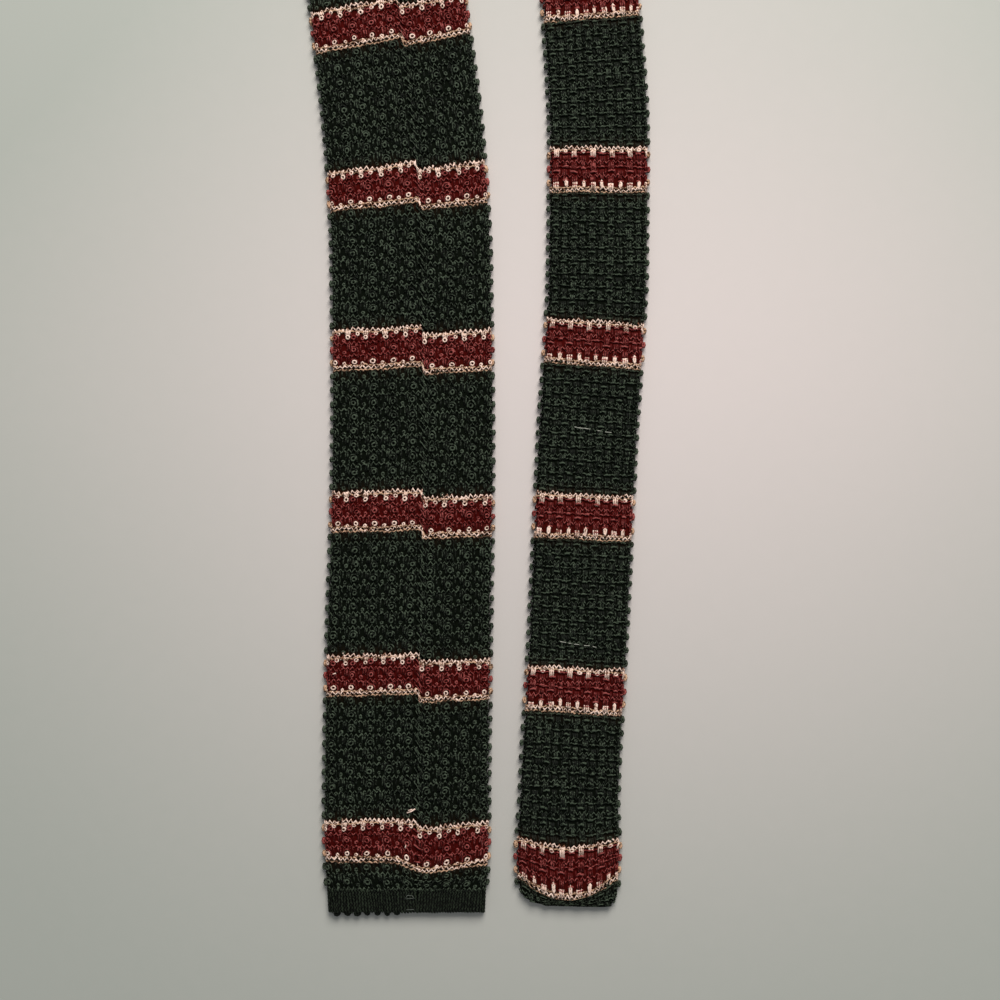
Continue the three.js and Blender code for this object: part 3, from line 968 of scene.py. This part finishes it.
def yarn_finish(name, shaded_colour, full, contrast, stained=None, brown_share=0.6):
    """Yarn from a shaded colour, low in the cloth, to its full colour. This is painted light:
    painted shade that grows with depth, and bright specks that are painted highlights. The contrast
    says how much height and specks count, and where the shaded colour ends. Near the cream rows it
    turns browner, partly where the cream shows through and partly as painted shade."""
    finish = Finish(
        name, Specular_IOR_Level=0.12, Sheen_Weight=0.03, Sheen_Roughness=0.45,
        Sheen_Tint=SHEEN_TINT,
    )
    shade_by_height, glint_by_speck, start = contrast
    place = finish.node("ShaderNodeTexCoord", {}, {}, "Object")
    uneven = finish.noise(place, CLOUD_NOISE, 3)
    fibre = finish.noise(place, FIBRE_NOISE, 2)
    speck = finish.noise(place, GLINT_NOISE, 1)
    way = {"Vector": finish.kept("round", "Vector")}
    facing = finish.node("ShaderNodeSeparateXYZ", {}, way, "X")
    up = Wire(finish, facing.socket.node.outputs["Y"])
    twist = finish.kept("run") * (2 * np.pi / PLY_TURN)
    ply = (up.of("ARCTAN2", facing) * PLIES + twist).of("SINE") * 0.5 + 0.5
    # Painted shade by depth, and painted highlights where the fine specks are bright.
    share = (1 - finish.kept("depth")) * shade_by_height + (speck - 0.5) * glint_by_speck
    share = share + finish.kept("tint") * 0.3 + uneven * 0.4 + ply * 0.3 + fibre * 0.3
    colour = finish.mix((share - start).within(0, 1), shaded_colour, full)
    # Browner near the cream lines: partly the cream showing through the other yarn, partly painted
    # shade beside the cream.
    if stained:
        colour = finish.mix(finish.kept("warm") * brown_share, colour, stained)
    relief = {"Height": ply * 0.7 + fibre * 0.3, **YARN_BUMP}
    normal = finish.node("ShaderNodeBump", {}, relief)
    return finish.put(Base_Color=colour, Roughness=0.5 + uneven * 0.25, Normal=normal)


# Each yarn: its colour in painted shade, its full colour, the contrast, and for green and red the
# browner colour near the cream lines.
GREEN = yarn_finish(
    "bottle_green_yarn", rgb(6, 12, 5), rgb(71, 82, 67), (0.9, 4.0, 0.85), rgb(48, 34, 17)
)
RED = yarn_finish(
    "brick_red_yarn", rgb(78, 5, 3), rgb(156, 80, 76), (0.8, 3.2, 0.8), rgb(84, 30, 18), 0.35
)
CREAM = yarn_finish(
    "undyed_cream_yarn", rgb(122, 80, 58), rgb(248, 220, 204), (1.5, 3.6, 1.0)
)
# A browner cream for the strokes and picots beside the cream lines. Its brown is painted shade
# about the cream.
BROWNER_CREAM = yarn_finish(
    "browner_cream_yarn", rgb(70, 46, 30), rgb(204, 166, 136), (0.9, 4.2, 0.75)
)
HEM = yarn_finish("hem_green_yarn", rgb(6, 10, 5), rgb(42, 51, 38), (0.7, 3.4, 0.8))
STRAY = yarn_finish("stray_thread", rgb(90, 94, 84), rgb(170, 172, 160), (1.0, 2.0, 0.6))
FAINT = yarn_finish("faint_thread", rgb(40, 46, 40), rgb(96, 102, 94), (1.0, 2.0, 0.6))
print("yarns:", GREEN.name, RED.name, CREAM.name)

# %% [markdown]
# ## The cloth behind the stitches
# Between the raised stitches one looks into the ground of the tube. It is a plain wall, a little
# inside the outermost yarn, hollow like the solids and open at both ends. Its dark colour is
# painted shade: the yarn's own colours, darkened as if in shadow in the gaps. It stands for all the
# solids and carries the yarn.

# %% Ground of the tube
WALL_INSIDE = -1.6
BLADE_TRIM = 0.3
TAIL_TRIM = 0.4
LINE_SIDE = 1.7
BESIDE_FOLD = 8
STRIPE_MARGIN = 0.5
GROUND_NOISE = 900.0
GROUND_BUMP = 0.0002
GROUND_CREAM_SHADE = 0.85

line_places = row_start[np.isin(row_part, ["first", "past"])]
heights = np.unique(np.concatenate([
    np.linspace(BLADE_TRIM, BLADE_HEM, 5), row_start, line_places - LINE_SIDE,
    line_places + LINE_SIDE, np.linspace(FOLD_START - BESIDE_FOLD, FOLD_END + BESIDE_FOLD, 25),
    np.linspace(TIE_LENGTH - TAIL_HEM, TIE_LENGTH - TAIL_TRIM, 8),
]))


def wall_points(depth):
    """Rings of points: close together round the pressed edges, far apart on the flat faces."""
    rings = []
    for at in heights:
        flat_half, low, high = tube(at)
        past = flat_half + np.pi * HALF_THICKNESS
        edge = np.linspace(flat_half, past, 6)
        front = np.linspace(-flat_half, flat_half, 10)[1:-1]
        left, right = np.linspace(low, -past, 6)[:-1], np.linspace(past, high, 6)[1:]
        across = np.concatenate([left, -edge[::-1], front, edge, right])
        rings.append(np.stack([across, np.full(len(across), at), np.full(len(across), depth)], 1))
    return np.concatenate(rings)


outer, inner = wall_points(GROUND_DEPTH), wall_points(WALL_INSIDE)
layers = len(heights)
around = len(outer) // layers
index = np.arange(layers * around).reshape(layers, around)
here, right, above, beyond = index[:-1, :-1], index[:-1, 1:], index[1:, :-1], index[1:, 1:]
shift = layers * around
outer_faces = np.stack([here, right, beyond, above], -1).reshape(-1, 4)
inner_faces = np.stack([here, above, beyond, right], -1).reshape(-1, 4) + shift


def join_walls(line, flip):
    """Faces from a line of the outer wall to the same line of the inner one."""
    faces = np.stack([line[:-1], line[1:], line[1:] + shift, line[:-1] + shift], -1)
    return faces[:, ::-1] if flip else faces


ends = [join_walls(index[0], True), join_walls(index[-1], False)]
slit = [join_walls(index[:, 0], False), join_walls(index[:, -1], True)]
faces = np.concatenate([outer_faces, inner_faces, *ends, *slit])
ground = Finish("ground_cloth_shade_finish", Specular_IOR_Level=0.03)
place = ground.node("ShaderNodeTexCoord", {}, {}, "Object")
fine = ground.noise(place, GROUND_NOISE, 3)
# Painted shade: green and red darkened like yarn in shadow between the stitches, and a brown
# painted shade of the cream near the cream lines.
green = ground.mix(fine, rgb(6, 9, 5), rgb(14, 19, 12))
red = ground.mix(fine, rgb(50, 5, 4), rgb(76, 12, 9))
colour = ground.mix(ground.kept("in_stripe"), green, red)
colour = ground.mix(ground.kept("warm") * GROUND_CREAM_SHADE, colour, rgb(44, 22, 12))
rough = ground.node("ShaderNodeBump", {}, {"Height": fine, "Distance": GROUND_BUMP})
ground.put(Base_Color=colour, Roughness=0.9, Normal=rough)
flat = waver(np.concatenate([outer, inner]))
fours = np.full(len(faces), 4)
base = mesh_piece("ground_cloth", lay(flat), faces.ravel(), fours, ground.material)
nearest = np.abs(flat[:, 1, None] - stripes).argmin(1)
half_stripe = rows_height[nearest] / 2 - STRIPE_MARGIN
inside = np.abs(flat[:, 1] - stripes[nearest]) < half_stripe
keep_values(base, {"in_stripe": inside, "warm": near_cream(flat[:, 1])})
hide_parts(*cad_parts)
print("ground cloth:", 2 * len(faces), "triangles")

# %% [markdown]
# ## Knitting the legs
# Every cell of the chart gets its kinds of stitch, each in the colour that its row and kind call
# for. The side that faces up gets fine, round yarn. The side that lies on the table is only seen
# when the tie is turned over, so its yarn is thicker and simpler.

# %% Which yarn each kind of stitch has in each row
SLOTS = {"green": "ground_yarn", "red": "stripe_yarn"}
GROUND_ROWS = {"before": "green", "past": "green", "ground": "green"}
RED_ROWS = {"first": "red", "second": "red", "third": "red"}
YARN_OF = {
    "zigzag": {**GROUND_ROWS, **RED_ROWS, "first": "cream", "past": "cream"},
    "ripple_high": {"third": "stained"},
    "ripple_low": {"first": "stained"},
    "ripple_deep": {**GROUND_ROWS, "first": "red", "second": "red"},
    "brown_below": {"before": "stained"},
    "brown_above": {"past": "stained"},
    "eyelets": {**GROUND_ROWS, **RED_ROWS, "first": "cream"},
    "prongs": {**GROUND_ROWS, "second": "red", "third": "red"},
    "blocks": {"first": "cream"},
    "crowns": {**GROUND_ROWS, **RED_ROWS},
    "uprights": {**GROUND_ROWS, "first": "red", "second": "red"},
    "masses": {"third": "cream"},
    "picots": {**GROUND_ROWS, **RED_ROWS, "first": "stained", "third": "stained"},
}
FINISH_OF = {
    "green": GREEN, "red": RED, "cream": CREAM, "stained": BROWNER_CREAM, "hem": HEM, "stray": STRAY,
    "faint": FAINT,
}
# How much paler or darker than the rest each kind of stitch is painted, in green and red. This is
# painted light: a painted highlight on stitches that catch the lamp, most of all the narrow leg's
# bars, and painted shade on others.
KIND_LIGHT_AND_SHADE = {
    ("blade", "eyelets"): 0.3, ("blade", "zigzag"): -0.15, ("blade", "crowns"): -0.55,
    ("blade", "uprights"): -0.05, ("tail", "crowns"): 1.0, ("tail", "uprights"): -0.8,
    ("tail", "eyelets"): -1.0, ("tail", "zigzag"): -0.3,
}
CREAM_LINE_THICKER = 1.15
CREAM_LINE_UNEVEN = 1.4
ROW_UNEVEN = 0.6
LEGS = {"blade": (on_blade_leg, BLADE_STITCHES, P), "tail": (~on_blade_leg, TAIL_STITCHES, T)}


def knit(mask, yarn, kinds, up, seed):
    """The stitches of one yarn in the masked cells, as arrays. On the tail, blocks take the place
    of the cream eyelets."""
    knitted = []
    all_spots = np.stack([cell_across, cell_along, np.zeros(len(cell_across))], 1)
    for leg, (on_leg, book, wide) in LEGS.items():
        if not up:
            book, wide = UNDER_STITCHES, P
        all_sizes = np.stack([cell_pitch / wide, cell_height / R, np.ones(len(cell_pitch))], 1)
        for kind in kinds:
            of_yarn = np.array([YARN_OF[kind].get(part) == yarn for part in cell_part])
            if kind == "eyelets" and "blocks" in book:
                of_yarn &= cell_part != "first"
            chosen = mask & (cell_up == up) & on_leg & of_yarn
            if kind not in book or not chosen.any():
                continue
            paths, thick, sides = book[kind]
            uneven = ROW_UNEVEN
            if kind == "zigzag" and yarn == "cream":
                thick, uneven = thick * CREAM_LINE_THICKER, CREAM_LINE_UNEVEN
            seed += 10
            made = set_stitches(
                paths, all_spots[chosen], thick, FINISH_OF[yarn], sides, uneven, seed,
                all_sizes[chosen],
            )
            if yarn in SLOTS:
                # Painted light: the kind's painted highlight (positive) and painted shade
                # (negative) go onto each stitch's own random tone.
                made["tint"] = made["tint"] + KIND_LIGHT_AND_SHADE.get((leg, kind), 0)
            knitted.append(made)
    return knitted


PICOT_REACH = 2.0
PICOT_PLACE = 0.45


def edge_picots(low, high, yarn, seed):
    """Picots of one yarn on both edges, at every row that starts between low and high."""
    of_yarn = np.array([YARN_OF["picots"][part] == yarn for part in row_part])
    chosen = of_yarn & (row_start >= low) & (row_start < high) & (row_start < TIE_LENGTH - TAIL_HEM)
    along = (row_start + PICOT_PLACE * row_height)[chosen]
    edge = tube(along)[0] + np.pi * HALF_THICKNESS / 2
    on_blade = along < FOLD_MIDDLE
    knitted = []
    for on_leg, picots in ((on_blade, BLADE_PICOT), (~on_blade, TAIL_PICOT)):
        if on_leg.any():
            paths, thick, sides = picots
            spots = [np.stack([side * edge, along, 0 * along], 1)[on_leg] for side in (-1, 1)]
            spots = np.concatenate(spots)
            made = set_stitches(paths, spots, thick, FINISH_OF[yarn], sides, 1.0, seed)
            made["highest"] = PICOT_REACH
            knitted.append(made)
    return knitted


print("kinds of stitch:", ", ".join(YARN_OF))

# %% Knitting
NECK_STRIPE = 7
NECK_FROM = blade_stripes[NECK_STRIPE] + STRIPE_HEIGHT / 2
NECK_TO = TIE_LENGTH - tail_stripes[NECK_STRIPE] - STRIPE_HEIGHT / 2
REACHES = {"blade": (0, NECK_FROM), "neck": (NECK_FROM, NECK_TO), "tail": (NECK_TO, TIE_LENGTH)}
EYELETS = ("eyelets", "prongs", "blocks", "crowns")
STROKES = (
    "zigzag", "ripple_high", "ripple_low", "ripple_deep", "uprights", "masses", "brown_below",
    "brown_above",
)
# The first seeds of chance for the upper side's stitches and for the picots.
SEEDS = {"red": (400, 910), "stained": (600, 920), "cream": (400, 910)}
yarn_pieces = []


def add_piece(name, knitted, yarn, slot=None, onto=lay):
    """Sews knitted arrays into a piece and keeps it among the yarn pieces. The slot is worked out
    but not used.
    """
    piece = sew(name, knitted, FINISH_OF[yarn], onto)
    slot = slot or SLOTS.get(yarn)
    yarn_pieces.append(piece)


for leg, (low, high) in REACHES.items():
    here = (cell_along >= low) & (cell_along < high)
    kinds = EYELETS + STROKES
    strokes = knit(here, "green", STROKES, True, 200) + edge_picots(low, high, "green", 900)
    add_piece(f"{leg}_green_eyelets", knit(here, "green", EYELETS, True, 100), "green")
    add_piece(f"{leg}_green_strokes", strokes, "green")
    add_piece(f"{leg}_green_underside", knit(here, "green", kinds, False, 300), "green")
    for yarn, (seed, picot_seed) in SEEDS.items():
        upper, under = knit(here, yarn, kinds, True, seed), knit(here, yarn, kinds, False, 500)
        picots = edge_picots(low, high, yarn, picot_seed)
        add_piece(f"{leg}_{yarn}_yarn", upper + under + picots, yarn)
print("yarn pieces:", len(yarn_pieces))

# %% [markdown]
# ## Seam and hems
# The seam closes the tube along the back. Short strands cross it at every half row and hide the
# ground between the two sides, and where a course jogs there, they lead it from one level to the
# other. The wide end is finished with a fine rib, and small lobes of yarn hang from its left half.

# %% Strands across the seam
SEAM_YARN = 0.72
CROSSING = [(-1.5, 0.35, -0.6), (-0.6, 0.1, -0.36), (0.6, -0.1, -0.36), (1.5, -0.35, -0.6)]

half_rows = np.sort(np.concatenate([row_start, row_start + row_height / 2]))
half_part = np.repeat(row_part, 2)
on_start = np.arange(len(half_rows)) % 2 == 0
for yarn in ("green", "red", "cream"):
    kinds = np.where(on_start, "zigzag", "crowns")
    of_yarn = [YARN_OF[kind].get(part) == yarn for kind, part in zip(kinds, half_part)]
    along = half_rows[of_yarn]
    spots = np.stack([0 * along, along, 0 * along], 1)
    crossing = path(*np.array(CROSSING).T)
    sewn = set_stitches(crossing, spots, SEAM_YARN, FINISH_OF[yarn], 4, 1.0, seed=77)
    add_piece(f"seam_{yarn}_yarn", [sewn], yarn, onto=lay_seam)

# %% Ribs and lobes of the wide end
RIB_PITCH = 1.08
RIB_YARN = 0.78
RIB_POINTS = 14
RIB_FOOT = 0.25
RIB_SWAY = 0.2
LOBES = 7
LOBE_PITCH = 3.85
FIRST_LOBE = -26.7
LOBE_RADIUS = 0.85
LOBE_YARN = 1.3

_, low, high = tube(BLADE_HEM / 2)
ribs = np.arange(low + RIB_PITCH / 2, high, RIB_PITCH)
t = np.arange(RIB_POINTS)
climb = RIB_FOOT + t * (BLADE_HEM - RIB_FOOT) / (RIB_POINTS - 1)
rib = path(RIB_SWAY * (-1.0) ** t, climb, -0.42 + 0.06 * np.cos(t * np.pi))
spots = np.stack([ribs, 0 * ribs, 0 * ribs], 1)
ribbed = set_stitches(rib, spots, RIB_YARN, GREEN, 4, 0.0, seed=55)
lobes = FIRST_LOBE + np.arange(LOBES) * LOBE_PITCH
back_way = 2 * tube(0.0)[0] + np.pi * HALF_THICKNESS
turn = np.arange(8) * np.pi / 4
across, along = LOBE_RADIUS * np.sin(turn), 0.1 + LOBE_RADIUS * np.cos(turn)
lobe = path(across, along, -1.3, True) + path(across, along, -2.4, True)
spots = np.stack([-(back_way + lobes), 0 * lobes, 0 * lobes], 1)
lobed = set_stitches(lobe, spots, LOBE_YARN, HEM, 5, 1.0, seed=56)
add_piece("blade_hem_yarn", [ribbed, lobed], "hem", "hem_yarn")

# %% [markdown]
# A few ends of thread lie on the cloth: two rows of light tacking on the narrow leg, a small cross
# stitch at the wide hem, and cream ends on the wide leg, most of them near the seam.

# %% Loose threads
THREAD_LIFT = 0.35
THREAD_REACH = 0.5
# Each stroke: its points (across, along), and how far out it lies before it is lifted.
TACKING = [
    ([(-5.2, 1237.0), (-3.4, 1237.2), (-1.2, 1237.1), (0.9, 1237.3)], -0.3),
    ([(3.9, 1237.5), (5.2, 1237.5)], -0.35), ([(6.6, 1237.8), (9.0, 1237.9)], -0.45),
    ([(-6.6, 1319.3), (-4.6, 1319.5)], -0.3), ([(-3.6, 1319.7), (-2.4, 1319.8)], -0.4),
    ([(-1.2, 1320.1), (0.6, 1320.2)], -0.4), ([(2.2, 1320.5), (4.4, 1320.7)], -0.35),
    ([(5.8, 1321.0), (7.4, 1321.1)], -0.4),
]
CROSS = [
    ([(-4.7, 5.4), (-3.8, 7.0), (-1.9, 7.0), (-1.2, 5.6)], -0.45),
    ([(-4.2, 5.6), (-1.6, 5.8)], -0.5), ([(-4.0, 1.3), (-1.5, 1.5)], -0.3),
]
CREAM_ENDS = [
    ([(-4.0, 38.6), (-2.4, 39.2), (-0.9, 40.3)], -0.1), ([(-3.6, 39.4), (-2.0, 40.0)], -0.1),
    ([(-4.9, 27.8), (-4.5, 28.6)], -0.2), ([(-33.2, 90.1), (-32.2, 90.4)], -0.2),
]


def threads(name, strokes, thick, yarn, onto):
    paths = [path(*np.array(points).T, out)[0] for points, out in strokes]
    made = set_stitches(paths, [(0, 0, 0)], thick, FINISH_OF[yarn], 5, 0.0, seed=1)
    made["points"][:, 2] += THREAD_LIFT
    made["highest"] = THREAD_REACH
    add_piece(name, [made], yarn, onto=onto)


threads("tail_tacking_thread", TACKING, 0.3, "stray", lay)
threads("hem_thread", CROSS, 0.28, "faint", lay_seam)
threads("blade_cream_ends", CREAM_ENDS, 0.5, "cream", lay_seam)

# %% [markdown]
# ## One body
# The tie is soft, but nothing on it moves against anything else, so all of it rides on the one
# body. The flat size of the knitted strip before it was closed into a tube is worked out along the
# tie.

# %% Riding, and the size round the tube
for piece in (base, *yarn_pieces):
    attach(piece, "root")
samples = np.linspace(0, TIE_LENGTH, 400)
round_size = np.array([np.ptp(tube(at)[1:]) for at in samples])

# %% Box of the finished tie
low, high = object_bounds()
print("box:", [round(v, 4) for v in (*low, *high)])
